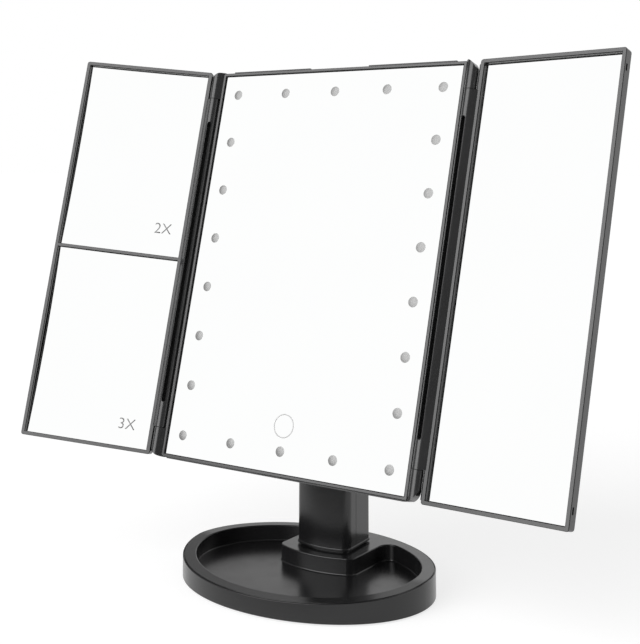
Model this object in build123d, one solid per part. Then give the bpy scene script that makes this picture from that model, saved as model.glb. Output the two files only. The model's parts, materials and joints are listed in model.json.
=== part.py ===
from build123d import *
import math
import os

# Trifold vanity mirror: a lit centre mirror with two folding side mirrors, on a
# battery column that stands in an oval tray.  Millimetres, +Z up, the object faces -Y.
# The origin is the middle of the tray, on the surface that its feet rest on.

# ---------------------------------------------------------------- driving dimensions
# base
FOOT_HEIGHT = 1.0
BASE_A, BASE_B = 77.8, 58.0        # half length and half depth of the tray
BASE_HEIGHT = 16.0                 # rim above the resting surface, level in its rear half
RIM_FALL = math.radians(5.0)       # slope of the rim's front half, down to the front
RIM_FOLD_R = 60.0                  # blend between the two halves
BASE_DRAFT = 0.3
BASE_WALL = 2.4
LIP_W, LIP_DROP = 0.4, 0.3         # thin lip of the outer wall, a little below the rim
GROOVE_W, GROOVE_DEPTH = 0.5, 1.1  # shadow groove between that lip and the rim
RECESS_A, RECESS_B = 69.6, 49.8    # half length and half depth of the recess
RECESS_DEPTH = 9.8
RECESS_FOOT_R, RECESS_EDGE_R = 0.8, 0.6
RIM_EDGE_R, LIP_EDGE_R = 0.3, 0.2
FLOOR_WALL = 2.0
PLINTH_HALF = 25.6                 # raised tongue that carries the column
PLINTH_FRONT = 3.2
PLINTH_CROWN = 6.2
PLINTH_R = 6.0                     # front corners of the plinth
LOBE_R = 6.5                       # rear corners of the recess beside it

# column
COLUMN_HALF, COLUMN_BACK_HALF = 18.1, 15.8
COLUMN_FRONT, COLUMN_BACK = 12.0, 44.0
COLUMN_CROWN = 4.0                 # the front face bulges by this much
COLUMN_FRONT_R, COLUMN_BACK_R = 5.0, 4.0
COLUMN_WALL = 1.8
COLUMN_TOP = 140.0
COLUMN_DRAFT = math.radians(0.4)
PARTING_Y = 25.2
SHADOW_GAP = 0.9
BEAD, BEAD_HEIGHT = 0.5, 1.6       # proud lip round the column's foot

# tilt hinge
AXIS_Y, AXIS_Z = 26.4, 155.0
YOKE_RADIUS = 13.5
TONGUE_HALF = 5.0
WASHER = 1.2
SLOT_HALF = TONGUE_HALF + WASHER
SHAFT_R = 3.0

# head: local frame, X across, Y backwards from the mirror surface, Z up the panel
TILT = 15.25                       # degrees that the head leans back as shown
HEAD_Y, HEAD_Z = 1.9, 179.9        # middle of the centre mirror's surface
HEAD_HALF_W, HEAD_HALF_H = 82.6, 116.1
OPEN_HALF_W, OPEN_HALF_H = 81.0, 114.6
LIP = 0.9                          # frame stands this far in front of the mirror
WALL = 1.0
FRAME_DEPTH = 9.0
HEAD_DEPTH = 11.5
COVER_ROUND = 1.8
UPPER_LIP, LOWER_LIP = 1.0, 0.8    # lips of the back cover over the frame
UPPER_LIP_FROM, UPPER_LIP_TO = 20.0, 75.5
LOWER_LIP_HALF = 79.5
LIP_FRONT = 0.4
GLASS = 3.0
LED_COLUMN_U, LED_INNER_U = 69.7, 34.6
LED_ROW_V = 102.4
LED_ROWS = 8
LED_R = 2.85
TOUCH_V = -88.4
BOARD_FRONT, BOARD_BACK = 6.0, 7.2 # light board, behind the mirror surface
BOARD_POSTS = [(u, v) for u in (-LED_COLUMN_U, LED_COLUMN_U) for v in (-87.8, -29.2, 29.2, 87.8)]

# wings: local frame, X outwards from the hinge axis, Y backwards, Z up
PIVOT_U, PIVOT_N = 86.7, 1.1       # hinge axis, N in front of the mirror surface
BARREL_R = 3.2
PARTING_V = 100.0
PARTING_GAP = 0.4
SHOULDER = 0.3                     # bearing face of each fixed knuckle stands proud by this
GUTTER_U, GUTTER_GAP = 85.5, 0.3   # rib that closes the gap behind the wing's barrel
GUTTER_FRONT, GUTTER_BACK = 0.6, 6.0
WING_GUTTER_U = 2.0                # the wing's own ribs, behind the fixed knuckles
KNUCKLE_V = 116.6
KNUCKLE_ROUND = 8.5
KNUCKLE_DEPTH = 6.0
PIN_R = 1.0
PIN_LENGTH = 24.0
SLOT_W, SLOT_V = 2.4, 85.0
WING_IN, WING_OUT = 4.0, 85.7
WING_HALF_H = 116.5
WING_OPEN_IN, WING_OPEN_OUT = 6.2, 83.7
WING_OPEN_H = 114.5
WING_FRONT = 0.2
WING_LIP = 2.3
WING_FRAME_DEPTH = 5.2
WING_DEPTH = 6.4
WING_WALL = 1.1
BAR_HALF = 0.75
LEFT_OPEN, RIGHT_OPEN = 23.0, 4.4  # degrees forward of flat, as shown
RADIUS_2X, RADIUS_3X = 1900.0, 1400.0

# batteries, AA
CELL_R, CELL_LENGTH = 7.0, 50.2
CELL_X, CELL_Y = 7.15, 31.5
CELL_Z = 26.6
DOOR_Z0, DOOR_Z1 = 25.0, 129.0
DOOR_HALF = 13.8
DOOR_PIVOT_Y, DOOR_PIVOT_Z = 42.5, 22.6
DOOR_TAB_HALF, DOOR_TAB_R, DOOR_PIN_R = 10.5, 1.4, 0.8
TRAY_Y = 22.4                      # front of the battery tray
TRAY_SCREW_Z = (42.0, 112.0)
GAP = 0.2


# ---------------------------------------------------------------- helpers
def box(x0, x1, y0, y1, z0, z1):
    """Box between two corners."""
    return Pos((x0 + x1) / 2, (y0 + y1) / 2, (z0 + z1) / 2) * Box(x1 - x0, y1 - y0, z1 - z0)


def rod(radius, z0, z1, x=0.0, y=0.0):
    """Upright cylinder."""
    return Pos(x, y, (z0 + z1) / 2) * Cylinder(radius, z1 - z0)


def rod_x(radius, x0, x1, y, z):
    """Cylinder along X."""
    return Pos((x0 + x1) / 2, y, z) * Rot(0, 90, 0) * Cylinder(radius, x1 - x0)


def rod_y(radius, y0, y1, x, z):
    """Cylinder along Y."""
    return Pos(x, (y0 + y1) / 2, z) * Rot(90, 0, 0) * Cylinder(radius, y1 - y0)


def upright(sketch, y0, y1):
    """Extrude a sketch drawn as X across and Y up into a plate from y0 back to y1."""
    plane = Plane(origin=(0, y1, 0), x_dir=(1, 0, 0), z_dir=(0, -1, 0))
    return extrude(plane * sketch, y1 - y0)


def panel(x0, x1, z0, z1, y0, y1, radius=0.0):
    """Upright plate with rounded corners."""
    sketch = Pos((x0 + x1) / 2, (z0 + z1) / 2) * (
        RectangleRounded(x1 - x0, z1 - z0, radius) if radius else Rectangle(x1 - x0, z1 - z0)
    )
    return upright(sketch, y0, y1)


def screw(head_r, shank_r, head, length):
    """Countersunk screw along Z, its head's flat face at 0 and its point up."""
    body = Pos(0, 0, head / 2) * Cone(head_r, shank_r, head) + rod(shank_r, head, length)
    return body - box(-head_r * 0.6, head_r * 0.6, -0.3, 0.3, -1, 0.5)


def pan_screw(head_r, shank_r, head, length):
    """Pan head screw along Z, its head below 0 and its point up."""
    body = rod(head_r, -head, 0) + rod(shank_r, 0, length)
    body = chamfer(body.edges().sort_by(Axis.Z)[0], head * 0.4)
    return body - box(-head_r * 0.6, head_r * 0.6, -0.3, 0.3, -head - 1, -head + 0.5)


head_place = Pos(0, HEAD_Y, HEAD_Z) * Rot(-TILT, 0, 0)
right_place = head_place * Pos(PIVOT_U, -PIVOT_N, 0) * Rot(0, 0, -RIGHT_OPEN)
left_place = head_place * Pos(-PIVOT_U, -PIVOT_N, 0) * Rot(0, 0, LEFT_OPEN)

# hinge axis of the tilt, in the head's own frame
tilt_sin, tilt_cos = math.sin(math.radians(TILT)), math.cos(math.radians(TILT))
AXIS_DEPTH = (AXIS_Y - HEAD_Y) * tilt_cos - (AXIS_Z - HEAD_Z) * tilt_sin
AXIS_V = (AXIS_Y - HEAD_Y) * tilt_sin + (AXIS_Z - HEAD_Z) * tilt_cos


# ---------------------------------------------------------------- base
def recess_sketch(grow=0.0):
    """Tray recess, an ellipse with the plinth cut into it from behind, grown all round."""
    a, b = RECESS_A + grow, RECESS_B + grow
    half, front, back = PLINTH_HALF - grow, PLINTH_FRONT + grow, BASE_B + 10
    corner = front + PLINTH_CROWN
    plinth = make_face(
        Curve() + [
            ThreePointArc((-half, corner), (0, front), (half, corner)),
            Line((half, corner), (half, back)),
            Line((half, back), (-half, back)),
            Line((-half, back), (-half, corner)),
        ]
    )
    recess = Ellipse(a, b) - plinth
    recess = fillet(recess.vertices().group_by(Axis.Y)[-1], LOBE_R + grow)
    corners = [v for v in recess.vertices() if abs(v.Y - corner) < 0.01 and abs(v.X) < 30]
    return fillet(corners, PLINTH_R - grow)


def rim_height(y):
    """Height of the rim's top at depth y."""
    return BASE_HEIGHT + min(y, 0.0) * math.tan(RIM_FALL)


def under_rim(drop):
    """All that lies below the rim's folded top surface, lowered by drop."""
    reach = BASE_B + 10
    level, front = BASE_HEIGHT - drop, rim_height(-reach) - drop
    outline = [(-reach, -5), (reach, -5), (reach, level), (0, level), (-reach, front)]
    side = make_face(Polyline(outline, close=True))
    fold = [v for v in side.vertices() if abs(v.X) < 0.01]
    return extrude(Plane.YZ * fillet(fold, RIM_FOLD_R), BASE_A + 10, both=True)


def rim_edges(shape, a, b):
    """Edges of the rim's top surface: those on the oval (a, b) and all others round the recess."""
    outer, inner = [], []
    for edge in shape.edges():
        middle = edge @ 0.5
        along_x = edge.geom_type == GeomType.LINE and abs((edge % 0.5).X) > 0.9
        if abs(middle.Z - rim_height(middle.Y)) > 0.1 or along_x:
            continue
        on_oval = abs(math.hypot(middle.X / a, middle.Y / b) - 1) < 0.003
        (outer if on_oval else inner).append(edge)
    return outer, inner


def make_base_tray():
    """Moulded tray: outer wall, grooved rim, recess and plinth, hollow from below."""
    bottom, top = FOOT_HEIGHT, BASE_HEIGHT
    top_a, top_b = BASE_A - BASE_DRAFT, BASE_B - BASE_DRAFT
    wall = loft([Pos(0, 0, bottom) * Ellipse(BASE_A, BASE_B), Pos(0, 0, top) * Ellipse(top_a, top_b)])
    lip_a, lip_b = top_a - LIP_W, top_b - LIP_W
    rim_a, rim_b = lip_a - GROOVE_W, lip_b - GROOVE_W
    floor = top - RECESS_DEPTH
    core = Pos(0, 0, bottom) * extrude(Ellipse(rim_a, rim_b), top) & under_rim(0)
    pocket = Pos(0, 0, floor) * extrude(recess_sketch(), top)
    core = core - fillet(pocket.edges().group_by(Axis.Z)[0], RECESS_FOOT_R)
    core = fillet(rim_edges(core, rim_a, rim_b)[1], RECESS_EDGE_R)
    core = fillet(rim_edges(core, rim_a, rim_b)[0], RIM_EDGE_R)
    sleeve = wall & under_rim(LIP_DROP)
    sleeve_top = [e for e in sleeve.edges() if (e @ 0.5).Z > floor and e.geom_type != GeomType.LINE]
    sleeve = fillet(sleeve_top, LIP_EDGE_R)
    sleeve = sleeve - Pos(0, 0, bottom) * extrude(Ellipse(lip_a, lip_b), top)
    link = Ellipse(lip_a + 0.1, lip_b + 0.1) - Ellipse(rim_a - 0.1, rim_b - 0.1)
    link = Pos(0, 0, bottom) * extrude(link, top)
    tray = core + sleeve + (link & under_rim(GROOVE_DEPTH))
    hollow_a, hollow_b = top_a - BASE_WALL, top_b - BASE_WALL
    under = floor - FLOOR_WALL
    hollow = Pos(0, 0, bottom) * extrude(Ellipse(hollow_a, hollow_b), under - bottom)
    high = Ellipse(hollow_a, hollow_b) - recess_sketch(FLOOR_WALL + 0.4)
    high = Pos(0, 0, under) * extrude(high, top) & under_rim(FLOOR_WALL)
    tray = tray - hollow - high
    for x in (-BOSS_X, BOSS_X):
        for y in (-BOSS_Y, BOSS_Y):
            tray = tray + rod(3.4, PLATE_TOP, under + 0.2, x, y) - rod(1.1, PLATE_TOP, floor - 0.7, x, y)
    for x, y in COLUMN_SCREWS:
        tray = tray - rod(1.6, top - FLOOR_WALL - 1, top + 1, x, y)
    socket_hole = box(-USB_HALF - 0.4, USB_HALF + 0.4, BASE_B - 6, BASE_B + 2, USB_Z - 1.7, USB_Z + 1.7)
    return tray - socket_hole


BOSS_X, BOSS_Y = 42.0, 27.0
PLATE_BOTTOM, PLATE_TOP = 1.4, 3.2
COLUMN_SCREWS = [(-11.0, 17.5), (11.0, 17.5), (-11.0, 33.0), (11.0, 33.0)]
FOOT_A, FOOT_B, FOOT_W = 70.0, 50.0, 6.0
FOOT_GROOVE = 0.8
USB_HALF, USB_Z = 3.8, 8.5
BOARD_Z = 6.0


def make_base_plate():
    """Cover under the tray, with posts for the power board."""
    inset = BASE_DRAFT + BASE_WALL + GAP
    plate = Pos(0, 0, PLATE_BOTTOM) * extrude(
        Ellipse(BASE_A - inset, BASE_B - inset), PLATE_TOP - PLATE_BOTTOM
    )
    plate = plate - extrude(foot_ring_sketch(0.15), PLATE_BOTTOM + FOOT_GROOVE)
    for x in (-BOSS_X, BOSS_X):
        for y in (-BOSS_Y, BOSS_Y):
            plate = plate - Pos(x, y, PLATE_BOTTOM) * Pos(0, 0, 0.7) * Cone(2.8, 1.3, 1.4)
            plate = plate - rod(1.35, PLATE_BOTTOM, PLATE_TOP + 1, x, y)
    for x in (-9.0, 9.0):
        plate = plate + rod(2.2, PLATE_TOP, BOARD_Z, x, 43.0)
    return plate


def foot_ring_sketch(gap=0.0):
    """Oval ring outline of the rubber foot, or of its groove with a gap."""
    a, b = FOOT_A + gap, FOOT_B + gap
    return Ellipse(a, b) - Ellipse(a - FOOT_W - 2 * gap, b - FOOT_W - 2 * gap)


def make_foot_ring():
    """Oval rubber ring that the object stands on."""
    return extrude(foot_ring_sketch(), PLATE_BOTTOM + FOOT_GROOVE)


def make_base_screws():
    """Four countersunk screws that hold the base plate."""
    one = screw(2.7, 1.05, 1.4, 3.9)
    return [Pos(x, y, PLATE_BOTTOM) * one for x in (-BOSS_X, BOSS_X) for y in (-BOSS_Y, BOSS_Y)]


def make_usb_socket():
    """Micro USB inlet's metal shell, open to the rear."""
    back = BASE_B - 1.6
    shell = box(-USB_HALF, USB_HALF, back - 5.6, back, USB_Z - 1.3, USB_Z + 1.3)
    shell = fillet(shell.edges().filter_by(Axis.Y), 0.6)
    mouth = box(-USB_HALF + 0.4, USB_HALF - 0.4, back - 4.6, back + 1, USB_Z - 0.9, USB_Z + 0.9)
    tongue = box(-2.2, 2.2, back - 4.8, back - 0.8, USB_Z - 0.3, USB_Z + 0.3)
    return shell - mouth + tongue


def make_power_board():
    """Small circuit board that carries the inlet."""
    board = box(-13, 13, 39, BASE_B - 2.2 - 2.0, BOARD_Z, BOARD_Z + 1.2)
    parts = [board]
    for x, y, size in ((-8.0, 47.0, 3.0), (7.0, 46.0, 4.0)):
        parts.append(box(x - size / 2, x + size / 2, y - 1.5, y + 1.5, BOARD_Z + 1.2, BOARD_Z + 2.2))
    return parts[0] + parts[1] + parts[2]


# ---------------------------------------------------------------- column
def column_section(z, inset=0.0):
    """Rounded section of the column at height z; its front bulges and its sides close in behind."""
    lean = (z - BASE_HEIGHT) * math.tan(COLUMN_DRAFT)
    half, back_half = COLUMN_HALF - 0.6 * lean - inset, COLUMN_BACK_HALF - 0.6 * lean - inset
    front, back = COLUMN_FRONT + lean + inset, COLUMN_BACK - lean - inset
    corner = front + COLUMN_CROWN
    face = make_face(
        Curve() + [
            ThreePointArc((-half, corner), (0, front), (half, corner)),
            Line((half, corner), (back_half, back)),
            Line((back_half, back), (-back_half, back)),
            Line((-back_half, back), (-half, corner)),
        ]
    )
    face = fillet(face.vertices().group_by(Axis.Y)[-1], COLUMN_BACK_R - inset)
    front_corners = [v for v in face.vertices() if abs(v.Y - corner) < 0.01]
    return Pos(0, 0, z) * fillet(front_corners, COLUMN_FRONT_R - inset)


def column_block(z0, z1, inset=0.0):
    """Solid length of the column."""
    return loft([column_section(z0, inset), column_section(z1, inset)])


def make_column_shells():
    """Front and rear half shells of the column, with the battery opening behind."""
    foot = BASE_HEIGHT
    bead_z = foot + SHADOW_GAP
    outer = column_block(bead_z, COLUMN_TOP)
    bead = column_block(bead_z, bead_z + BEAD_HEIGHT, -BEAD)
    bead = fillet(bead.edges().group_by(Axis.Z)[-1] + bead.edges().group_by(Axis.Z)[0], 0.45)
    neck = column_block(foot, bead_z, 1.2)
    inner = column_block(foot + 2.4, COLUMN_TOP, COLUMN_WALL)
    tube = outer + bead + neck - inner
    for x, y in COLUMN_SCREWS:
        tube = tube + (rod(3.2, foot + 2.4, foot + 6.6, x, y))
        tube = tube - rod(1.3, foot - 1, foot + 6.0, x, y)
    big = 80.0
    front = tube & box(-big, big, -big, PARTING_Y, 0, 200)
    for z in TRAY_SCREW_Z:
        front = front + rod_y(3.0, COLUMN_FRONT + 1.6, TRAY_Y, 0, z)
        front = front - rod_y(1.0, TRAY_Y - 5.4, TRAY_Y + 1, 0, z)
    rear = tube & box(-big, big, PARTING_Y, big, 0, 200)
    skin = column_block(bead_z, COLUMN_TOP) - column_block(bead_z, COLUMN_TOP, 1.0)
    rear = rear - (skin & box(-big, big, PARTING_Y, PARTING_Y + 0.3, bead_z + BEAD_HEIGHT, 200))
    rear = rear - box(-DOOR_HALF - GAP, DOOR_HALF + GAP, 38, 60, DOOR_Z0 - 0.8, DOOR_Z1 + GAP)
    tab_half, tab_low = DOOR_TAB_HALF + GAP, DOOR_PIVOT_Z - DOOR_TAB_R - GAP
    for side_x in (-1, 1):
        x0, x1 = sorted((side_x * tab_half, side_x * (tab_half + 2.2)))
        rear = rear + box(x0, x1, DOOR_PIVOT_Y - 2.0, COLUMN_BACK - 1.0, tab_low, DOOR_Z0 - 0.8)
    rear = rear - box(-tab_half, tab_half, 38, 60, tab_low, DOOR_Z0)
    rear = rear - rod_x(DOOR_PIN_R + 0.05, -tab_half - 1.9, tab_half + 1.9, DOOR_PIVOT_Y, DOOR_PIVOT_Z)
    wall = (outer - inner) & (
        box(-DOOR_HALF, DOOR_HALF, 38, 60, DOOR_Z0, DOOR_Z1)
        + box(-DOOR_TAB_HALF, DOOR_TAB_HALF, 38, 60, DOOR_PIVOT_Z, DOOR_Z0)
    )
    return front, rear, wall


def make_battery_door(wall):
    """Battery door: a piece of the rear wall on a rounded tab, with ribs inside and a grip."""
    inner = COLUMN_BACK - COLUMN_WALL
    pivot = (DOOR_PIVOT_Y, DOOR_PIVOT_Z)
    outer_corner = COLUMN_BACK - 0.1 - DOOR_PIVOT_Y
    door = wall + (
        rod_x(DOOR_TAB_R, -DOOR_TAB_HALF, DOOR_TAB_HALF, *pivot)
        & box(-20, 20, DOOR_PIVOT_Y - DOOR_TAB_R, DOOR_PIVOT_Y + outer_corner, 0, 60)
    )
    door = door + rod_x(DOOR_PIN_R, -DOOR_TAB_HALF - 1.8, DOOR_TAB_HALF + 1.8, *pivot)
    for z in (DOOR_Z0 + 26, DOOR_Z0 + 52, DOOR_Z0 + 78):
        door = door + box(-12, 12, inner - 2.2, inner + 0.2, z - 0.6, z + 0.6)
    for i in range(GRIP_GROOVES):
        z = DOOR_Z1 - 10 - 2.4 * i
        door = door - rod_x(0.7, -7, 7, COLUMN_BACK - 0.75, z)
    return door + box(-4, 4, inner - 1.6, inner + 0.2, DOOR_Z1 - 2.6, DOOR_Z1 - 0.6)


GRIP_GROOVES = 5


def make_battery_tray():
    """Open tray that holds four AA cells, two on two."""
    half, front, back, deep = 13.8, TRAY_Y, TRAY_Y + 1.3, 36.0
    z0, z1 = CELL_Z - 0.6, CELL_Z + 2 * CELL_LENGTH + 0.6
    tray = box(-half, half, front, back, z0 - 1.5, z1 + 1.5)
    tray = tray + box(-half, half, front, deep, z0 - 1.5, z0)
    tray = tray + box(-half, half, front, deep, z1, z1 + 1.5)
    tray = tray + box(-0.6, 0.6, back, 25.8, z0, z1)
    for z in TRAY_SCREW_Z:
        tray = tray - rod_y(2.6, back, 30, 0, z) - rod_y(1.2, front - 1, back + 1, 0, z)
    return tray


def make_tray_screws():
    """Two screws that hold the battery tray to the front shell."""
    one = Rot(90, 0, 0) * pan_screw(2.1, 1.0, 1.1, 6.0)
    return [Pos(0, TRAY_Y + 1.3, z) * one for z in TRAY_SCREW_Z]


def make_cells():
    """Four AA cells; the pairs lie head to tail."""
    body = chamfer(rod(CELL_R, 0, CELL_LENGTH - 1.2).edges(), 0.5)
    cell = body + rod(2.7, CELL_LENGTH - 1.2, CELL_LENGTH)
    flipped = Pos(0, 0, CELL_LENGTH) * Rot(180, 0, 0) * cell
    low, high = CELL_Z, CELL_Z + CELL_LENGTH
    return [
        Pos(-CELL_X, CELL_Y, low) * cell, Pos(-CELL_X, CELL_Y, high) * cell,
        Pos(CELL_X, CELL_Y, low) * flipped, Pos(CELL_X, CELL_Y, high) * flipped,
    ]


def make_contacts():
    """Contact plates: one bridge at the bottom, two terminals at the top."""
    low, high = CELL_Z - 0.6, CELL_Z + 2 * CELL_LENGTH
    bridge = box(-12.5, 12.5, 26.2, 35.6, low, low + 0.6)
    left = box(-12.5, -2.0, 26.2, 35.6, high, high + 0.6)
    right = box(2.0, 12.5, 26.2, 35.6, high, high + 0.6)
    return [bridge, left, right]


def make_column_screws():
    """Four screws from under the plinth into the column."""
    one = pan_screw(2.8, 1.25, 1.8, 7.6)
    return [Pos(x, y, BASE_HEIGHT - FLOOR_WALL) * one for x, y in COLUMN_SCREWS]


# ---------------------------------------------------------------- tilt hinge
def column_head():
    """The column's topmost section carried straight up to the top of the yoke."""
    return extrude(column_section(COLUMN_TOP), AXIS_Z + YOKE_RADIUS - COLUMN_TOP)


def make_yoke():
    """Forked head of the column; its cheeks carry the tilt shaft."""
    top = AXIS_Z + YOKE_RADIUS
    plug = column_block(COLUMN_TOP - 6, COLUMN_TOP, COLUMN_WALL + 0.1)
    plug = plug - column_block(COLUMN_TOP - 6, COLUMN_TOP - 2, COLUMN_WALL + 2.0)
    prism = column_head()
    lean = (COLUMN_TOP - BASE_HEIGHT) * math.tan(COLUMN_DRAFT)
    y0, y1 = COLUMN_FRONT + lean, COLUMN_BACK - lean
    side = make_hull(
        (Pos(AXIS_Y, AXIS_Z) * Circle(YOKE_RADIUS)).edges()
        + (Pos((y0 + y1) / 2, COLUMN_TOP + 3) * Rectangle(y1 - y0, 6)).edges()
    )
    profile = extrude(Plane.YZ * side, 40, both=True)
    yoke = (prism & profile) + plug
    slot = box(-SLOT_HALF, SLOT_HALF, 0, AXIS_Y + 8.0, AXIS_Z - 8.0, top + 5)
    yoke = yoke - slot - rod_x(SHAFT_R, -40, 40, AXIS_Y, AXIS_Z)
    for side_x in (-1, 1):
        bore = rod_x(6.4, min(side_x * 12.4, side_x * 40), max(side_x * 12.4, side_x * 40), AXIS_Y, AXIS_Z)
        yoke = yoke - bore
    return yoke


def make_tilt_shaft():
    """Shaft with a round head on the left."""
    shaft = rod_x(SHAFT_R - 0.05, -12.4, 15.1, AXIS_Y, AXIS_Z)
    return shaft + rod_x(5.2, -14.9, -12.4, AXIS_Y, AXIS_Z)


def make_tilt_nut():
    """Lock nut on the right end of the shaft."""
    nut = Pos(12.4, AXIS_Y, AXIS_Z) * Rot(0, 90, 0) * extrude(RegularPolygon(5.0, 6), 2.6)
    return nut - rod_x(SHAFT_R - 0.05, 0, 40, AXIS_Y, AXIS_Z)


def make_friction_washers():
    """Two friction washers between the bracket's tongue and the cheeks."""
    washers = []
    for side_x in (-1, 1):
        x0, x1 = sorted((side_x * TONGUE_HALF, side_x * SLOT_HALF))
        ring = rod_x(6.4, x0, x1, AXIS_Y, AXIS_Z) - rod_x(SHAFT_R + 0.05, x0 - 1, x1 + 1, AXIS_Y, AXIS_Z)
        washers.append(ring)
    return washers


def make_hinge_caps():
    """Two plain caps that close the shaft's counterbores flush with the cheeks."""
    caps = []
    for side_x in (-1, 1):
        x0, x1 = sorted((side_x * 15.3, side_x * 25.0))
        caps.append(rod_x(6.3, x0, x1, AXIS_Y, AXIS_Z) & column_head())
    return caps


BRACKET_HALF = 17.0
BRACKET_UP, BRACKET_DOWN = 24.0, 10.0
BRACKET_PLATE = 3.0
BRACKET_SCREWS = [(-12.0, -5.0), (12.0, -5.0), (-12.0, 18.0), (12.0, 18.0)]


def make_tilt_bracket():
    """Plate on the back of the head with a tongue that reaches into the yoke."""
    y0, y1 = HEAD_DEPTH, HEAD_DEPTH + BRACKET_PLATE
    plate = panel(-BRACKET_HALF, BRACKET_HALF, AXIS_V - BRACKET_DOWN, AXIS_V + BRACKET_UP, y0, y1, 4.0)
    plate = chamfer(plate.faces().sort_by(Axis.Y)[-1].edges(), 0.8)
    side = make_hull(
        (Pos(AXIS_DEPTH, AXIS_V) * Circle(7.0)).edges()
        + (Pos(y1, AXIS_V) * Rectangle(2.0, 14.0)).edges()
    )
    tongue = extrude(Plane.YZ * side, TONGUE_HALF, both=True)
    bracket = plate + tongue
    for x, v in BRACKET_SCREWS:
        bracket = bracket - rod_y(1.5, y0 - 1, y1 + 1, x, AXIS_V + v)
        bracket = bracket - Pos(x, y1 - 0.8, AXIS_V + v) * Rot(90, 0, 0) * Cone(2.9, 1.4, 1.6)
    bracket = bracket - rod_x(SHAFT_R, -10, 10, AXIS_DEPTH, AXIS_V)
    return head_place * bracket


def make_bracket_screws():
    """Four countersunk screws that hold the bracket to the back cover."""
    one = Rot(90, 0, 0) * screw(2.8, 1.3, 1.6, 6.6)
    y = HEAD_DEPTH + BRACKET_PLATE
    return [head_place * Pos(x, y, AXIS_V + v) * one for x, v in BRACKET_SCREWS]


# ---------------------------------------------------------------- head
def led_places():
    """Window centres (across, up) in the centre mirror: five, five and six a side."""
    pitch = 2 * LED_ROW_V / (LED_ROWS - 1)
    places = []
    for i in range(LED_ROWS):
        v = LED_ROW_V - pitch * i
        ends = i in (0, LED_ROWS - 1)
        across = (-LED_COLUMN_U, -LED_INNER_U, 0, LED_INNER_U, LED_COLUMN_U)
        for u in (across if ends else (-LED_COLUMN_U, LED_COLUMN_U)):
            places.append((u, v))
    return places


def make_main_frame():
    """Frame of the centre panel, with the fixed hinge knuckles at its corners."""
    frame = panel(-HEAD_HALF_W, HEAD_HALF_W, -HEAD_HALF_H, HEAD_HALF_H, -LIP, FRAME_DEPTH, 1.2)
    frame = chamfer(frame.faces().sort_by(Axis.Y)[0].edges(), 0.3)
    frame = frame - panel(-OPEN_HALF_W, OPEN_HALF_W, -OPEN_HALF_H, OPEN_HALF_H, -LIP - 1, 20)
    inner_w, inner_h = HEAD_HALF_W - WALL, HEAD_HALF_H - WALL
    frame = frame - panel(-inner_w, inner_w, -inner_h, inner_h, 0, 20)
    gutter = panel(inner_w, GUTTER_U, -PARTING_V - 1, PARTING_V + 1, GUTTER_FRONT, GUTTER_BACK)
    gutter = gutter - rod(BARREL_R + GUTTER_GAP, -PARTING_V - 2, PARTING_V + 2, PIVOT_U, -PIVOT_N)
    frame = frame + gutter + mirror(gutter, Plane.YZ)
    ear = make_hull(
        (Pos(PIVOT_U, -PIVOT_N) * Circle(BARREL_R)).edges()
        + (Pos(HEAD_HALF_W - 0.3, KNUCKLE_DEPTH / 2) * Rectangle(1.0, KNUCKLE_DEPTH)).edges()
    )
    length = KNUCKLE_V - PARTING_V
    for side_u in (-1, 1):
        for side_v in (-1, 1):
            solid = Pos(0, 0, PARTING_V) * extrude(ear, length)
            outline = Pos((PIVOT_U + BARREL_R) / 2, (PARTING_V + KNUCKLE_V) / 2) * Rectangle(
                PIVOT_U + BARREL_R, length)
            far = outline.vertices().sort_by(Axis.X)[-2:].sort_by(Axis.Y)[-1]
            outline = fillet(far, KNUCKLE_ROUND)
            solid = solid & upright(outline, -10, 20)
            solid = solid + rod(BARREL_R - 0.2, PARTING_V - SHOULDER, PARTING_V + 1, PIVOT_U, -PIVOT_N)
            solid = solid - rod(PIN_R, PARTING_V - 1, PARTING_V + 12.0, PIVOT_U, -PIVOT_N)
            if side_v < 0:
                solid = mirror(solid, Plane.XY)
            if side_u < 0:
                solid = mirror(solid, Plane.YZ)
            frame = frame + solid
    return head_place * frame


def make_main_back_cover():
    """Dished back of the centre panel; two lips lap over the frame above and one below."""
    y0, y1 = FRAME_DEPTH, HEAD_DEPTH
    cover = panel(-HEAD_HALF_W, HEAD_HALF_W, -HEAD_HALF_H, HEAD_HALF_H, y0, y1, 2.5)
    cover = fillet(cover.faces().sort_by(Axis.Y)[-1].edges(), COVER_ROUND)
    inner_w, inner_h = HEAD_HALF_W - WALL - 0.2, HEAD_HALF_H - WALL - 0.2
    rib = panel(-inner_w, inner_w, -inner_h, inner_h, GLASS + 1.0, y0 + 0.5)
    rib = rib - panel(-inner_w + 1.4, inner_w - 1.4, -inner_h + 1.4, inner_h - 1.4, 0, 20)
    cover = cover + rib
    lip_back = y1 - COVER_ROUND
    for side_u in (-1, 1):
        x0, x1 = sorted((side_u * UPPER_LIP_FROM, side_u * UPPER_LIP_TO))
        cover = cover + box(x0, x1, LIP_FRONT, lip_back, HEAD_HALF_H, HEAD_HALF_H + UPPER_LIP)
    low, high = -HEAD_HALF_H - LOWER_LIP, -HEAD_HALF_H
    cover = cover + box(-LOWER_LIP_HALF, LOWER_LIP_HALF, LIP_FRONT, lip_back, low, high)
    for u, v in BOARD_POSTS:
        cover = cover + rod_y(2.2, BOARD_BACK, y0 + 0.2, u, v)
    for u, v in [(x, AXIS_V + z) for x, z in BRACKET_SCREWS]:
        cover = cover + rod_y(3.4, 7.0, y0 + 0.2, u, v)
        cover = cover - rod_y(1.3, 7.6, y1 + 1, u, v)
    return head_place * cover


def make_main_mirror():
    """Silvered glass with a round window for each light."""
    half_w, half_h = HEAD_HALF_W - WALL - 0.1, HEAD_HALF_H - WALL - 0.1
    glass = Pos(0, 0) * Rectangle(2 * half_w, 2 * half_h)
    for u, v in led_places():
        glass = glass - Pos(u, v) * Circle(LED_R)
    return head_place * upright(glass, 0, GLASS)


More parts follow.
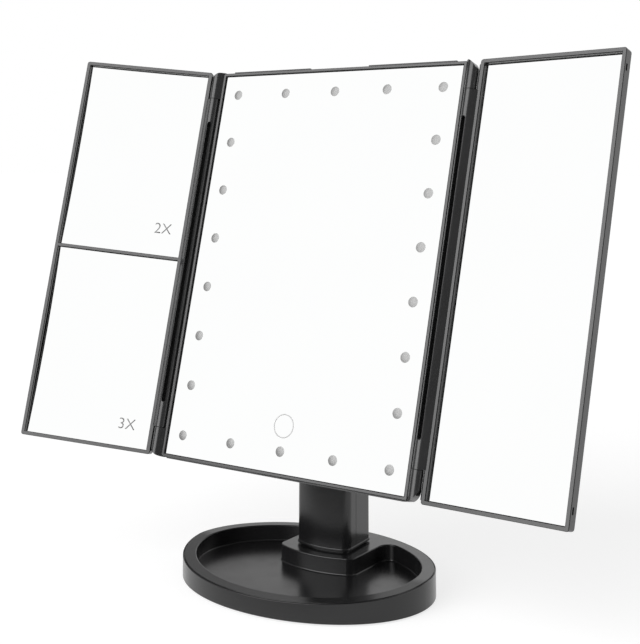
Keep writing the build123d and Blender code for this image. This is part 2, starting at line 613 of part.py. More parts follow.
def make_diffuser():
    """Frosted sheet behind the glass; a stud fills each window."""
    half_w, half_h = HEAD_HALF_W - WALL - 0.2, HEAD_HALF_H - WALL - 0.2
    sheet = upright(Rectangle(2 * half_w, 2 * half_h), GLASS, GLASS + 1.0)
    studs = Sketch() + [Pos(u, v) * Circle(LED_R - 0.05) for u, v in led_places()]
    return head_place * (sheet + upright(studs, 0.15, GLASS))


def make_led_board():
    """Ring shaped circuit board behind the lights."""
    width = 5.0
    ring = Rectangle(2 * (LED_COLUMN_U + width), 2 * (LED_ROW_V + width))
    ring = ring - Rectangle(2 * (LED_COLUMN_U - width), 2 * (LED_ROW_V - width))
    return head_place * upright(ring, BOARD_FRONT, BOARD_BACK)


def make_led_chips():
    """One light on the board behind each window."""
    chip = box(-1.75, 1.75, BOARD_FRONT - 1.6, BOARD_FRONT, -1.4, 1.4)
    return [head_place * Pos(u, 0, v) * chip for u, v in led_places()]


def make_touch_board():
    """Touch sensor board against the back of the diffuser, above the lowest lights."""
    board = panel(-11, 11, TOUCH_V - 9, TOUCH_V + 9, GLASS + 1.0, GLASS + 2.2)
    chip = box(-3, 3, GLASS + 2.2, GLASS + 3.4, TOUCH_V - 2, TOUCH_V + 2)
    return head_place * (board + chip)


def make_hinge_pins():
    """Four steel pins, one through each pair of knuckles."""
    start = PARTING_V + 12.0
    pin = rod(PIN_R - 0.03, start - PIN_LENGTH, start, 0, -PIVOT_N)
    return [
        head_place * Pos(side_u * PIVOT_U, 0, 0) * (pin if side_v > 0 else mirror(pin, Plane.XY))
        for side_u in (-1, 1) for side_v in (-1, 1)
    ]


# ---------------------------------------------------------------- wings
def wing_frame(with_bar):
    """Frame of the right hand wing, with the long slotted hinge barrel."""
    y0, y1 = WING_FRONT, WING_FRONT + WING_FRAME_DEPTH
    frame = panel(WING_IN, WING_OUT, -WING_HALF_H, WING_HALF_H, y0, y1, 1.4)
    frame = chamfer(frame.faces().sort_by(Axis.Y)[0].edges(), 0.3)
    frame = frame - panel(WING_OPEN_IN, WING_OPEN_OUT, -WING_OPEN_H, WING_OPEN_H, y0 - 1, y1 + 1)
    seat = y0 + WING_LIP
    x0, x1, height = WING_IN + WING_WALL, WING_OUT - WING_WALL, WING_HALF_H - WING_WALL
    frame = frame - panel(x0, x1, -height, height, seat, y1 + 1)
    if with_bar:
        frame = frame + panel(WING_OPEN_IN - 0.5, WING_OPEN_OUT + 0.5, -BAR_HALF, BAR_HALF, y0, seat)
        frame = frame + panel(x0 - 0.2, x1 + 0.2, -0.4, 0.4, seat - 0.2, y1)
    half = PARTING_V - PARTING_GAP
    web = make_hull(
        Circle(BARREL_R).edges() + (Pos(WING_IN + 0.4, y0 + 2.6) * Rectangle(0.8, 5.0)).edges()
    )
    barrel = Pos(0, 0, -half) * extrude(web, 2 * half)
    slot = SlotOverall(2 * SLOT_V, SLOT_W, rotation=90)
    barrel = barrel - upright(slot, -10, 1.6)
    for side_v in (-1, 1):
        z0, z1 = sorted((side_v * (half - 12.5), side_v * (half + 1)))
        barrel = barrel - rod(PIN_R + 0.02, z0, z1)
    frame = frame + barrel
    for side_v in (-1, 1):
        z0, z1 = sorted((side_v * half, side_v * (WING_HALF_H - 2)))
        rib = box(WING_GUTTER_U, WING_IN + 0.2, GUTTER_FRONT + PIVOT_N, y1, z0, z1)
        frame = frame + (rib - rod(BARREL_R + GUTTER_GAP, z0 - 1, z1 + 1))
    for side_v in (-1, 1):
        z = side_v * SNAP_V
        frame = frame - box(WING_OUT - 0.8, WING_OUT + 1, y0 + 1.2, y0 + 2.8, z - 1.8, z + 1.8)
    return frame


SNAP_V = 106.8


def wing_back():
    """Back cover of the right hand wing, with a rib that holds the mirror."""
    y0, y1 = WING_FRONT + WING_FRAME_DEPTH, WING_FRONT + WING_DEPTH
    cover = panel(WING_IN, WING_OUT, -WING_HALF_H, WING_HALF_H, y0, y1, 1.6)
    return fillet(cover.faces().sort_by(Axis.Y)[-1].edges(), 0.9)


def wing_rib(thickness):
    """Rib ring on the cover that presses the plain mirror against the lip."""
    y0 = WING_FRONT + WING_LIP + thickness
    y1 = WING_FRONT + WING_FRAME_DEPTH
    x0, x1, height = WING_IN + WING_WALL + 0.15, WING_OUT - WING_WALL - 0.15, WING_HALF_H - WING_WALL - 0.15
    ring = panel(x0, x1, -height, height, y0, y1)
    return ring - panel(x0 + 1.2, x1 - 1.2, -height + 1.2, height - 1.2, y0 - 1, y1 + 1)


def plain_mirror():
    """Flat mirror of the right hand wing."""
    x0, x1, height = WING_IN + WING_WALL + 0.1, WING_OUT - WING_WALL - 0.1, WING_HALF_H - WING_WALL - 0.1
    seat = WING_FRONT + WING_LIP
    return panel(x0, x1, -height, height, seat, seat + 2.0)


def magnifying_mirror(radius, z0, z1):
    """Concave mirror whose corners touch the frame's lip."""
    x0, x1 = WING_IN + WING_WALL + 0.1, WING_OUT - WING_WALL - 0.1
    seat, thickness = WING_FRONT + WING_LIP, 1.0
    middle_x, middle_z = (x0 + x1) / 2, (z0 + z1) / 2
    reach = math.hypot((x1 - x0) / 2, (z1 - z0) / 2)
    centre_y = seat - math.sqrt(radius**2 - reach**2)
    blank = panel(x0, x1, z0, z1, seat - 2, seat + 6)
    centre = Pos(middle_x, centre_y, middle_z)
    return (blank & (centre * Sphere(radius + thickness))) - centre * Sphere(radius)


def flipped(shape):
    """Mirror image, for the left hand wing."""
    return mirror(shape, Plane.YZ)


# ---------------------------------------------------------------- output
def write(name, shapes):
    """Write one node; a list holds separate solids of one node."""
    if isinstance(shapes, (list, ShapeList)):
        solids = [solid for shape in shapes for solid in shape.solids()]
        shape = Compound(children=solids) if len(solids) > 1 else solids[0]
    else:
        solids = shapes.solids()
        shape = solids[0] if len(solids) == 1 else Compound(children=list(solids))
    export_step(shape, os.path.join("parts", name + ".step"))
    print(name, len(solids))


def main():
    """Build every node and write it."""
    os.makedirs("parts", exist_ok=True)
    write("base_tray", make_base_tray())
    write("base_plate", make_base_plate())
    write("base_foot_ring", make_foot_ring())
    write("base_screws", make_base_screws())
    write("usb_socket", make_usb_socket())
    write("power_board", make_power_board())
    front, rear, wall = make_column_shells()
    write("column_front_shell", front)
    write("column_rear_shell", rear)
    write("battery_door", make_battery_door(wall))
    write("battery_tray", make_battery_tray())
    write("battery_cells", make_cells())
    write("battery_contacts", make_contacts())
    write("column_screws", make_column_screws())
    write("tray_screws", make_tray_screws())
    write("tilt_yoke", make_yoke())
    write("tilt_shaft", make_tilt_shaft())
    write("tilt_nut", make_tilt_nut())
    write("friction_washers", make_friction_washers())
    write("hinge_caps", make_hinge_caps())
    write("tilt_bracket", make_tilt_bracket())
    write("bracket_screws", make_bracket_screws())
    write("main_frame", make_main_frame())
    write("main_back_cover", make_main_back_cover())
    write("main_mirror", make_main_mirror())
    write("led_diffuser", make_diffuser())
    write("led_board", make_led_board())
    write("led_chips", make_led_chips())
    write("touch_board", make_touch_board())
    write("hinge_pins", make_hinge_pins())
    top = WING_HALF_H - WING_WALL - 0.1
    write("right_wing_frame", right_place * wing_frame(False))
    write("right_wing_back", right_place * (wing_back() + wing_rib(2.0)))
    write("right_mirror", right_place * plain_mirror())
    write("left_wing_frame", left_place * flipped(wing_frame(True)))
    write("left_wing_back", left_place * flipped(wing_back()))
    write("left_mirror_2x", left_place * flipped(magnifying_mirror(RADIUS_2X, 0.5, top)))
    write("left_mirror_3x", left_place * flipped(magnifying_mirror(RADIUS_3X, -top, -0.5)))


main()
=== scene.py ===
"""Looks of a lit trifold vanity mirror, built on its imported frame.

Lengths are metres, the studio's angles are degrees, +Z is up and the mirrors
face -Y. Every sub-assembly is a class: it gives the frame's own nodes their
finish and models the small pieces that those nodes lack. The studio with its
floor, lamps and camera comes last.
"""

import json
import logging
import math
from collections.abc import Callable, Iterator
from contextlib import contextmanager
from dataclasses import dataclass
from enum import Enum

import bpy
from mathutils import Matrix, Vector

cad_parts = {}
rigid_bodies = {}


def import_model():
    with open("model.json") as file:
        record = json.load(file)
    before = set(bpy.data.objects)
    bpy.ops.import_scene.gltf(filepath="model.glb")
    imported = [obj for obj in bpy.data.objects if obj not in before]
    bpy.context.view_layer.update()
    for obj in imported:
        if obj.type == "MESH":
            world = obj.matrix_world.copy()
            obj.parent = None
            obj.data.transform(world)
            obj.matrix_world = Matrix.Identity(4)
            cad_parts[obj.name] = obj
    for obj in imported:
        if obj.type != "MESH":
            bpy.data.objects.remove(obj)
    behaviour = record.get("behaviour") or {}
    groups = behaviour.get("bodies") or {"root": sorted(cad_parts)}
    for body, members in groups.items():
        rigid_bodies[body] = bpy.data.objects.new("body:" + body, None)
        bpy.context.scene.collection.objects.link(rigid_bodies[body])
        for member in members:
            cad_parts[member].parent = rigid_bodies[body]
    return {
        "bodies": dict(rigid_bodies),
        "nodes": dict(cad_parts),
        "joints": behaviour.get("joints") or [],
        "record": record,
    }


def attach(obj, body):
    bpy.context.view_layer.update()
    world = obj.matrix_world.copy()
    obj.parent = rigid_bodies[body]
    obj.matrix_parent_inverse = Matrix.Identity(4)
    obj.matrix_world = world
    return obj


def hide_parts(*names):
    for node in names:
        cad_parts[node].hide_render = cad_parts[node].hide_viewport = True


LOG = logging.getLogger("vanity_mirror")
MM = 0.001
PIVOT_DEPTH = 1.1 * MM  # how far the wings' hinge axes stand in front of the centre mirror
GASKET_RECESS = 0.25 * MM  # how far a gasket lies behind the front of its frame
INK = 0.03 * MM  # thickness of a printed mark
ALONG = 0.9  # a normal that has this much of an axis points along it
TO_FRONT = Matrix.Rotation(math.radians(90), 4, "X")  # turns what faces +Z to face -Y
SHOWN_RAYS = ("Is Camera Ray", "Is Transmission Ray", "Is Singular Ray")

Colour = tuple[float, float, float]
Stretch = tuple[float, float, float]
Span = tuple[float, float]
FaceTest = Callable[[Vector, Vector], bool]
Socket = bpy.types.NodeSocket


def either_side(value: float, swing: float) -> Span:
    """The values that lie a swing below and above a value."""
    return value - swing, value + swing


# ---------------------------------------------------------------- finishes
class NodeBoard:
    """A node material that is put together step by step."""

    NOISE_RANGE = (0.3, 0.7)  # nearly all of a noise lies between these
    RAMP_ENDS = (0.35, 0.65)  # noise at which the darker and the lighter tone are reached

    def __init__(self, name: str) -> None:
        """Start a material.

        Args:
            name: Name of the new material.
        """
        self.material = bpy.data.materials.new(name)
        self.material.use_nodes = True
        self.tree = self.material.node_tree
        self.shader = self.tree.nodes["Principled BSDF"]
        place = self.tree.nodes.new("ShaderNodeTexCoord")
        self.place = place.outputs["Object"]

    def plain(self, **values: float | Colour) -> None:
        """Set the shader's own sockets.

        Args:
            **values: Socket names in lower case with underscores, and their values.
        """
        for name, value in values.items():
            label = name.replace("_", " ").title().replace("Ior", "IOR")
            socket = self.shader.inputs[label]
            socket.default_value = (*value, 1.0) if isinstance(value, tuple) else value

    def noise(
        self, grain: float, detail: float, stretch: Stretch = (1.0, 1.0, 1.0)
    ) -> Socket:
        """Add a noise pattern on the piece's own coordinates.

        Args:
            grain: Size of one blot in metres.
            detail: Octaves of finer noise.
            stretch: How much the pattern is pressed together along X, Y and Z.

        Returns:
            The socket that carries the noise, from 0 to 1.
        """
        mapping = self.tree.nodes.new("ShaderNodeMapping")
        mapping.inputs["Scale"].default_value = stretch
        self.tree.links.new(self.place, mapping.inputs["Vector"])
        noise = self.tree.nodes.new("ShaderNodeTexNoise")
        noise.inputs["Scale"].default_value = 1.0 / grain
        noise.inputs["Detail"].default_value = detail
        self.tree.links.new(mapping.outputs["Vector"], noise.inputs["Vector"])
        return noise.outputs["Fac"]

    def roughen(self, source: Socket, roughness: Span) -> None:
        """Let the roughness follow a noise.

        Args:
            source: Socket that carries the noise.
            roughness: Roughness at the noise's dark end and at its light end.
        """
        spread = self.tree.nodes.new("ShaderNodeMapRange")
        sockets = ("From Min", "From Max", "To Min", "To Max")
        for socket, value in zip(sockets, (*self.NOISE_RANGE, *roughness)):
            spread.inputs[socket].default_value = value
        self.tree.links.new(source, spread.inputs["Value"])
        self.tree.links.new(spread.outputs["Result"], self.shader.inputs["Roughness"])

    def blend(self, source: Socket, colour: Colour, tones: Span) -> None:
        """Colour the surface between a darker and a lighter tone.

        Args:
            source: Socket that carries the pattern.
            colour: The surface's colour.
            tones: Factors on that colour where the pattern is low and where it is high.
        """
        ramp = self.tree.nodes.new("ShaderNodeValToRGB")
        for stop, end, tone in zip(ramp.color_ramp.elements, self.RAMP_ENDS, tones):
            stop.position = end
            stop.color = (*(min(1.0, channel * tone) for channel in colour), 1.0)
        self.tree.links.new(source, ramp.inputs["Fac"])
        self.tree.links.new(ramp.outputs["Color"], self.shader.inputs["Base Color"])

    def relief(self, source: Socket, depth: float) -> None:
        """Give the surface a fine relief.

        Args:
            source: Socket that carries the pattern.
            depth: Height of the relief in metres.
        """
        bump = self.tree.nodes.new("ShaderNodeBump")
        bump.inputs["Distance"].default_value = depth
        self.tree.links.new(source, bump.inputs["Height"])
        self.tree.links.new(bump.outputs["Normal"], self.shader.inputs["Normal"])


@dataclass(frozen=True)
class MouldedPlastic:
    """Black moulded plastic with the fine texture of its tool."""

    name: str
    colour: Colour
    roughness: float
    grain: float = 0.35 * MM
    depth: float = 0.012 * MM
    specular: float = 0.5
    blot: float = 28 * MM
    mottling: float = 0.12
    flow: float = 9 * MM
    unevenness: float = 0.02

    def material(self) -> bpy.types.Material:
        """Make the material.

        Returns:
            The node material.
        """
        board = NodeBoard(self.name)
        board.plain(specular_ior_level=self.specular)
        blots = board.noise(self.blot, detail=3.0)
        board.blend(blots, self.colour, either_side(1.0, self.mottling))
        flow_marks = board.noise(self.flow, detail=3.0)
        board.roughen(flow_marks, either_side(self.roughness, self.unevenness))
        board.relief(board.noise(self.grain, detail=1.0), self.depth)
        return board.material


@dataclass(frozen=True)
class SilveredGlass:
    """Silvered glass that mirrors its surroundings."""

    name: str
    colour: Colour
    haze: float
    blot: float = 60 * MM
    dimming: float = 0.996
    ripple: float = 25 * MM

    def material(self) -> bpy.types.Material:
        """Make the material.

        Returns:
            The node material.
        """
        board = NodeBoard(self.name)
        board.plain(metallic=1.0)
        board.blend(board.noise(self.blot, detail=1.0), self.colour, (self.dimming, 1.0))
        board.roughen(board.noise(self.ripple, detail=2.0), (0.0, self.haze))
        return board.material


@dataclass(frozen=True)
class FrostedPlastic:
    """Frosted plastic in front of a light."""

    name: str
    colour: Colour
    roughness: float
    coat: float
    specular: float = 0.5
    blot: float = 1.2 * MM
    flow: float = 0.8 * MM
    unevenness: float = 0.02
    grain: float = 0.25 * MM
    depth: float = 0.001 * MM

    def material(self) -> bpy.types.Material:
        """Make the material.

        Returns:
            The node material.
        """
        board = NodeBoard(self.name)
        board.plain(coat_weight=self.coat, coat_roughness=self.roughness)
        board.plain(specular_ior_level=self.specular)
        blots = board.noise(self.blot, detail=2.0)
        board.blend(blots, self.colour, either_side(1.0, self.unevenness))
        flow_marks = board.noise(self.flow, detail=2.0)
        board.roughen(flow_marks, either_side(self.roughness, self.unevenness))
        board.relief(board.noise(self.grain, detail=1.0), self.depth)
        return board.material


@dataclass(frozen=True)
class PrintedInk:
    """Thin matt ink, a little uneven where it lies on the glass."""

    name: str
    colour: Colour
    roughness: float = 0.6
    specular: float = 0.3
    blot: float = 0.4 * MM
    unevenness: float = 0.07
    grain: float = 0.15 * MM
    depth: float = 0.004 * MM

    def material(self) -> bpy.types.Material:
        """Make the material.

        Returns:
            The node material.
        """
        board = NodeBoard(self.name)
        board.plain(roughness=self.roughness, specular_ior_level=self.specular)
        blots = board.noise(self.blot, detail=2.0)
        board.blend(blots, self.colour, either_side(1.0, self.unevenness))
        board.relief(board.noise(self.grain, detail=1.0), self.depth)
        return board.material


@dataclass(frozen=True)
class PlatedSteel:
    """Plated steel with fine marks along one direction."""

    name: str
    colour: Colour
    roughness: float
    along: Stretch = (1.0, 1.0, 6.0)
    blot: float = 2.5 * MM
    tones: Span = (0.85, 1.1)
    scratch: float = 0.6 * MM
    smoothest: float = -0.08
    roughest: float = 0.1
    depth: float = 0.004 * MM

    def material(self) -> bpy.types.Material:
        """Make the material.

        Returns:
            The node material.
        """
        board = NodeBoard(self.name)
        board.plain(metallic=1.0)
        board.blend(board.noise(self.blot, detail=3.0), self.colour, self.tones)
        scratches = board.noise(self.scratch, detail=3.0, stretch=self.along)
        span = (self.roughness + self.smoothest, self.roughness + self.roughest)
        board.roughen(scratches, span)
        board.relief(scratches, self.depth)
        return board.material


@dataclass(frozen=True)
class SoftRubber:
    """Matt rubber with a dusty bloom."""

    name: str
    colour: Colour
    specular: float = 0.25
    blot: float = 5 * MM
    bloom: float = 1.7
    patch: float = 3 * MM
    roughness: Span = (0.72, 0.9)
    grain: float = 0.3 * MM
    depth: float = 0.03 * MM

    def material(self) -> bpy.types.Material:
        """Make the material.

        Returns:
            The node material.
        """
        board = NodeBoard(self.name)
        board.plain(specular_ior_level=self.specular)
        board.blend(board.noise(self.blot, detail=4.0), self.colour, (1.0, self.bloom))
        board.roughen(board.noise(self.patch, detail=2.0), self.roughness)
        board.relief(board.noise(self.grain, detail=2.0), self.depth)
        return board.material


@dataclass(frozen=True)
class BoardLaminate:
    """Glass fibre board under a solder mask."""

    name: str
    colour: Colour
    roughness: float = 0.35
    thread: float = 0.8 * MM
    weft: Stretch = (1.0, 3.0, 1.0)
    contrast: float = 0.2
    depth: float = 0.01 * MM

    def material(self) -> bpy.types.Material:
        """Make the material.

        Returns:
            The node material.
        """
        board = NodeBoard(self.name)
        weave = board.noise(self.thread, detail=1.0, stretch=self.weft)
        board.blend(weave, self.colour, either_side(1.0, self.contrast))
        board.plain(roughness=self.roughness)
        board.relief(weave, self.depth)
        return board.material


TRAY_BLACK = MouldedPlastic(
    "tray_black", (0.008, 0.008, 0.0084), roughness=0.24, depth=0.0012 * MM
)
COLUMN_BLACK = MouldedPlastic(
    "column_black", (0.009, 0.009, 0.0094), roughness=0.20, depth=0.0006 * MM, specular=0.55
)
HOUSING_BLACK = MouldedPlastic("housing_black", (0.016, 0.016, 0.0165), roughness=0.40)
FRAME_BLACK = MouldedPlastic(
    "frame_black", (0.018, 0.018, 0.0185), roughness=0.22, depth=0.001 * MM, specular=0.6
)
INNER_BLACK = MouldedPlastic("inner_black", (0.03, 0.03, 0.031), roughness=0.5, depth=0.02 * MM)
FLAT_MIRROR = SilveredGlass("flat_mirror", (0.985, 0.99, 0.988), haze=0.003)
CONCAVE_MIRROR = SilveredGlass("concave_mirror", (0.985, 0.99, 0.988), haze=0.003)
WINDOW_WHITE = FrostedPlastic(
    "window_white", (0.18, 0.18, 0.178), roughness=0.30, coat=1.0, specular=0.7
)
CHIP_YELLOW = FrostedPlastic("chip_yellow", (0.75, 0.66, 0.28), roughness=0.4, coat=0.2)
MARK_INK = PrintedInk("mark_ink", (0.27, 0.27, 0.27))
RING_INK = PrintedInk("ring_ink", (0.50, 0.50, 0.50))
SCREW_ZINC = PlatedSteel("screw_zinc", (0.45, 0.45, 0.46), roughness=0.32)
SOCKET_NICKEL = PlatedSteel(
    "socket_nickel", (0.62, 0.62, 0.63), roughness=0.22, along=(1.0, 6.0, 1.0)
)
CONTACT_NICKEL = PlatedSteel(
    "contact_nickel", (0.66, 0.63, 0.58), roughness=0.25, along=(6.0, 1.0, 1.0)
)
CELL_SLEEVE = PlatedSteel(
    "cell_sleeve", (0.30, 0.31, 0.33), roughness=0.38, along=(1.0, 1.0, 0.2)
)
FOOT_RUBBER = SoftRubber("foot_rubber", (0.018, 0.018, 0.018))
GASKET_RUBBER = SoftRubber("gasket_rubber", (0.010, 0.010, 0.010))
BOARD_GREEN = BoardLaminate("board_green", (0.03, 0.16, 0.07))

Finish = (
    MouldedPlastic | SilveredGlass | FrostedPlastic | PrintedInk
    | PlatedSteel | SoftRubber | BoardLaminate
)


# ---------------------------------------------------------------- bench tools
class Bench:
    """Tools that the sub-assemblies share: finishes by name, and ways to shape a mesh."""

    RING_SIDES = 96
    SMOOTH_UP_TO = math.radians(35.0)  # a sharper edge stays sharp in the shading

    def __init__(self, frame: dict) -> None:
        """Remember the frame.
        """
        self.nodes: dict[str, bpy.types.Object] = frame["nodes"]
        self.joints: dict[str, dict] = {joint["name"]: joint for joint in frame["joints"]}
        self.materials: dict[str, bpy.types.Material] = {}

    def material(self, finish: Finish) -> bpy.types.Material:
        """Make a finish's material the first time it is asked for, and keep it.

        Args:
            finish: The finish.

        Returns:
            Its material.
        """
        if finish.name not in self.materials:
            self.materials[finish.name] = finish.material()
        return self.materials[finish.name]

    def dress(self, finish: Finish, *names: str) -> None:
        """Give nodes of the frame a finish.

        Args:
            finish: The finish.
            *names: Names of the nodes.
        """
        for name in names:
            node = self.nodes[name]
            node.data.materials.clear()
            node.data.materials.append(self.material(finish))
            LOG.info("node %s wears %s", name, finish.name)

    def hand_in(
        self, piece: bpy.types.Object, name: str, finish: Finish, body: str, slot: str
    ) -> None:
        """Name a new piece, give it its finish and let it ride on its body.

        Args:
            piece: The finished piece.
            name: Its name.
            finish: Its finish.
            body: Body of the frame that carries it.
            slot: The record's material slot; it is not used.
        """
        piece.name = piece.data.name = name
        piece.data.materials.clear()
        piece.data.materials.append(self.material(finish))
        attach(piece, body)
        LOG.info("piece %s rides on %s", name, body)

    def head_place(self) -> Matrix:
        """Where the head is: X across, Y back from the mirror's surface, Z up the panel.

        Returns:
            The matrix from the head's own coordinates.
        """
        left = Vector(self.joints["left_wing_hinge"]["pos_m"])
        right = Vector(self.joints["right_wing_hinge"]["pos_m"])
        up = Vector(self.joints["left_wing_hinge"]["axis"]).normalized()
        across = (right - left).normalized()
        back = up.cross(across)
        turn = Matrix((across, back, up)).transposed().to_4x4()
        return Matrix.Translation((left + right) / 2 + back * PIVOT_DEPTH) @ turn

    @staticmethod
    def only(piece: bpy.types.Object) -> None:
        """Select one object alone and make it the active one.

        Args:
            piece: The object to select.
        """
        bpy.ops.object.select_all(action="DESELECT")
        piece.select_set(True)
        bpy.context.view_layer.objects.active = piece

    @staticmethod
    @contextmanager
    def editing(piece: bpy.types.Object, test: FaceTest) -> Iterator[None]:
        """Edit a mesh with the faces that pass a test selected.

        Args:
            piece: The object to edit.
            test: Takes a face's centre and normal and says whether it is selected.

        Yields:
            Nothing, while edit mode is on.
        """
        Bench.only(piece)
        for part in (*piece.data.vertices, *piece.data.edges):
            part.select = False
        for face in piece.data.polygons:
            face.select = test(face.center, face.normal)
        bpy.ops.object.mode_set(mode="EDIT")
        bpy.ops.mesh.select_mode(type="FACE")
        yield
        bpy.ops.object.mode_set(mode="OBJECT")

    @staticmethod
    def bake_modifiers(piece: bpy.types.Object) -> None:
        """Apply all of a piece's modifiers, in order.

        Args:
            piece: The piece.
        """
        Bench.only(piece)
        for modifier in list(piece.modifiers):
            bpy.ops.object.modifier_apply(modifier=modifier.name)

    @staticmethod
    def settle(piece: bpy.types.Object, place: Matrix) -> None:
        """Put a piece in its place through its mesh and leave its object at the origin.

        Args:
            piece: The piece, modelled near the origin.
            place: Matrix to the frame's coordinates.
        """
        piece.data.transform(place @ piece.matrix_basis)
        piece.matrix_basis = Matrix.Identity(4)
        Bench.only(piece)
        bpy.ops.object.shade_smooth_by_angle(angle=Bench.SMOOTH_UP_TO)

    @staticmethod
    def twin(piece: bpy.types.Object) -> bpy.types.Object:
        """Copy a piece together with its mesh.

        Args:
            piece: The object to copy.

        Returns:
            The copy.
        """
        copy = piece.copy()
        copy.data = piece.data.copy()
        bpy.context.scene.collection.objects.link(copy)
        return copy

    @staticmethod
    def ring(radius: float, line: float, depth: float) -> bpy.types.Object:
        """Model a flat ring round the Z axis.

        Args:
            radius: Its outer radius.
            line: Width of the ring.
            depth: Its height along Z.

        Returns:
            The ring, centred on the origin.
        """
        bpy.ops.object.select_all(action="DESELECT")
        bpy.ops.mesh.primitive_cylinder_add(
            vertices=Bench.RING_SIDES, radius=radius, depth=depth
        )
        piece = bpy.context.object
        with Bench.editing(piece, lambda centre, normal: abs(normal.z) > ALONG):
            bpy.ops.mesh.inset(thickness=line, depth=0.0)
            bpy.ops.mesh.bridge_edge_loops()
        return piece

    @staticmethod
    def liner(width: float, height: float, line: float, depth: float) -> bpy.types.Object:
        """Model an upright rectangular ring, such as a gasket in a frame's opening.

        Args:
            width: Its outer size along X.
            height: Its outer size along Z.
            line: Width of the ring's section.
            depth: Its size along Y.

        Returns:
            The ring, centred on the origin.
        """
        bpy.ops.object.select_all(action="DESELECT")
        bpy.ops.mesh.primitive_cube_add(size=1.0)
        piece = bpy.context.object
        piece.scale = (width, depth, height)
        bpy.ops.object.transform_apply(scale=True)
        with Bench.editing(piece, lambda centre, normal: abs(normal.y) > ALONG):
            bpy.ops.mesh.inset(thickness=line, depth=0.0)
            bpy.ops.mesh.bridge_edge_loops()
        return piece

    @staticmethod
    def discard(piece: bpy.types.Object) -> None:
        """Remove a pattern or a cutter that has done its work."""
        bpy.data.meshes.remove(piece.data)


# ---------------------------------------------------------------- screws
@dataclass(frozen=True)
class CrossHeadScrew:
    """Countersunk screw with a cross recess; its head's face lies at 0 and its point is up."""

    head_radius: float
    shank_radius: float
    head: float
    length: float
    point: float = 0.15  # width of the point against the shank's
    recess_width: float = 0.62 * MM
    recess_reach: float = 0.58  # against the head's radius
    recess_depth: float = 0.62  # against the head's height
    recess_taper: float = 0.35  # width of the cutter's tip against its foot
    sides: int = 32

    def model(self) -> bpy.types.Object:
        """Model the screw.

        Returns:
            The screw as a new object at the origin.
        """
        bpy.ops.object.select_all(action="DESELECT")
        middle = (0, 0, self.head / 2)
        bpy.ops.mesh.primitive_cylinder_add(
            vertices=self.sides, radius=self.head_radius, depth=self.head, location=middle
        )
        screw = bpy.context.object
        bpy.ops.object.transform_apply(location=True)
        with Bench.editing(screw, lambda centre, normal: normal.z > ALONG):
            narrow = self.shank_radius / self.head_radius
            bpy.ops.transform.resize(value=(narrow, narrow, 1))
            for rise in (self.length - 2 * self.head, self.head):
                bpy.ops.mesh.extrude_region_move(TRANSFORM_OT_translate={"value": (0, 0, rise)})
            bpy.ops.transform.resize(value=(self.point, self.point, 1))
        self.cut_recess(screw)
        return screw

    def cut_recess(self, screw: bpy.types.Object) -> None:
        """Cut the cross recess into the head.

        Args:
            screw: The screw to cut.
        """
        reach, depth = self.head_radius * self.recess_reach, self.head * self.recess_depth
        for turn in (0.0, math.pi / 2):
            bpy.ops.object.select_all(action="DESELECT")
            bpy.ops.mesh.primitive_cube_add(size=1.0, rotation=(0, 0, turn))
            blade = bpy.context.object
            blade.scale = (2 * reach, self.recess_width, 2 * depth)
            bpy.ops.object.transform_apply(rotation=True, scale=True)
            with Bench.editing(blade, lambda centre, normal: normal.z > ALONG):
                bpy.ops.transform.resize(value=(self.recess_taper, self.recess_taper, 1))
            cut = screw.modifiers.new("recess", "BOOLEAN")
            cut.object = blade
            Bench.bake_modifiers(screw)
            Bench.discard(blade)


# ---------------------------------------------------------------- base
@dataclass
class TrayBase:
    """Oval tray with its plate, rubber ring, power inlet and screws."""

    bench: Bench
    screw_across: float = 42.0 * MM
    screw_deep: float = 27.0 * MM
    plate_face: float = 1.4 * MM
    screw: CrossHeadScrew = CrossHeadScrew(
        head_radius=2.7 * MM, shank_radius=1.05 * MM, head=1.4 * MM, length=3.9 * MM
    )

    def dress(self) -> None:
        """Give the base's own nodes their finish."""
        self.bench.dress(TRAY_BLACK, "base_tray")
        self.bench.dress(HOUSING_BLACK, "base_plate")
        self.bench.dress(FOOT_RUBBER, "base_foot_ring")
        self.bench.dress(SOCKET_NICKEL, "usb_socket")
        self.bench.dress(BOARD_GREEN, "power_board")

    def build_screws(self) -> None:
        """Model the four screws under the plate."""
        pattern = self.screw.model()
        corners = [(x, y) for x in (-1, 1) for y in (-1, 1)]
        for count, (x, y) in enumerate(corners, start=1):
            piece = Bench.twin(pattern)
            seat = (x * self.screw_across, y * self.screw_deep, self.plate_face)
            Bench.settle(piece, Matrix.Translation(seat))
            self.bench.hand_in(piece, f"base_screw_{count}", SCREW_ZINC, "stand", "screw_steel")
            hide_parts("base_screws")
        Bench.discard(pattern)

    def build(self) -> None:
        """Finish the whole base."""
        self.dress()
        self.build_screws()


# ---------------------------------------------------------------- column
@dataclass
class BatteryColumn:
    """Column with its shells, door, cells and the tilt hinge on top."""

    bench: Bench

    def dress(self) -> None:
        """Give the column's nodes their finish."""
        self.bench.dress(COLUMN_BLACK, "column_front_shell", "column_rear_shell", "battery_door")
        self.bench.dress(COLUMN_BLACK, "tilt_yoke", "hinge_caps")
        self.bench.dress(INNER_BLACK, "battery_tray", "friction_washers")
        self.bench.dress(CELL_SLEEVE, "battery_cells")
        self.bench.dress(CONTACT_NICKEL, "battery_contacts")
        self.bench.dress(SCREW_ZINC, "column_screws", "tray_screws", "tilt_shaft", "tilt_nut")

    def build(self) -> None:
        """Finish the whole column."""
        self.dress()


